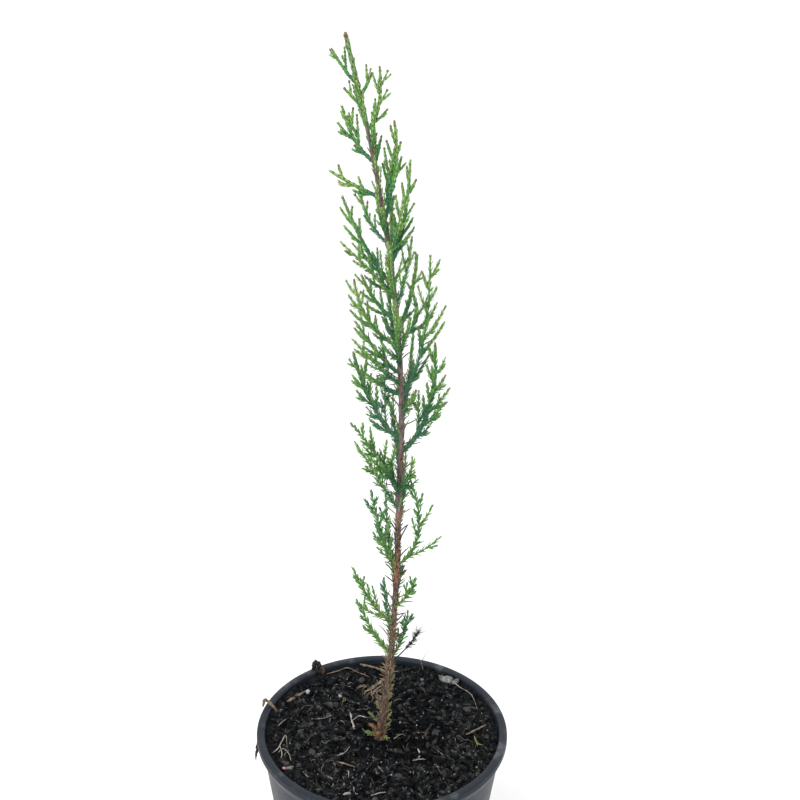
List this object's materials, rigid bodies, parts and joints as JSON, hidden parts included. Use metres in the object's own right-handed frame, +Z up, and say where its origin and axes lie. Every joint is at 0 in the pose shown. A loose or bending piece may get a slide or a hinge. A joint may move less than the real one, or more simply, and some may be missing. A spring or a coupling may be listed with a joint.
{
  "type": "potted italian cypress",
  "caption": "Young Italian cypress with a slender leaning trunk and upright leafy side shoots, standing in a round tapered black nursery pot filled with potting mix.",
  "frame": {"origin": "centre of the pot's flat underside, on the surface it stands on", "axes": "+Z up along the trunk, -Y towards the viewer of the picture, +X to the viewer's right"},
  "size_m": [0.13, 0.13, 0.4493],
  "materials": {
    "pot_plastic": "black moulded plastic with a soft sheen, paler where it is scuffed",
    "potting_mix": "dark moist compost of bark, peat and grit",
    "bark": "thin rough red-brown bark",
    "foliage": "matte green scale and needle leaves",
    "dead_foliage": "dry brown twigs and needles"
  },
  "bodies": {
    "root": {"pot": "pot_plastic", "potting_mix": "potting_mix", "trunk": "bark", "shoot_01": "foliage", "shoot_02": "foliage", "shoot_03": "foliage", "shoot_04": "foliage", "shoot_05": "foliage", "shoot_06": "foliage", "shoot_07": "foliage", "shoot_08": "foliage", "shoot_09": "foliage", "shoot_10": "foliage", "shoot_11": "foliage", "shoot_12": "foliage", "shoot_13": "foliage", "shoot_14": "foliage", "shoot_15": "foliage", "shoot_16": "foliage", "shoot_17": "foliage", "shoot_18": "foliage", "shoot_19": "foliage", "shoot_20": "foliage", "shoot_21": "foliage", "shoot_22": "foliage", "shoot_23": "foliage", "shoot_24": "foliage", "shoot_25": "foliage", "shoot_26": "foliage", "shoot_27": "foliage", "shoot_28": "foliage", "shoot_29": "foliage", "shoot_30": "foliage", "shoot_31": "foliage", "shoot_32": "foliage", "shoot_33": "foliage", "shoot_34": "foliage", "shoot_35": "foliage", "shoot_36": "foliage", "shoot_37": "foliage", "shoot_38": "foliage", "shoot_39": "foliage", "shoot_40": "foliage", "shoot_41": "foliage", "shoot_42": "foliage", "shoot_43": "foliage", "shoot_44": "foliage", "shoot_45": "foliage", "shoot_46": "foliage", "shoot_47": "foliage", "shoot_48": "foliage", "dead_twig_01": "dead_foliage", "dead_twig_02": "dead_foliage"}
  },
  "joints": []
}
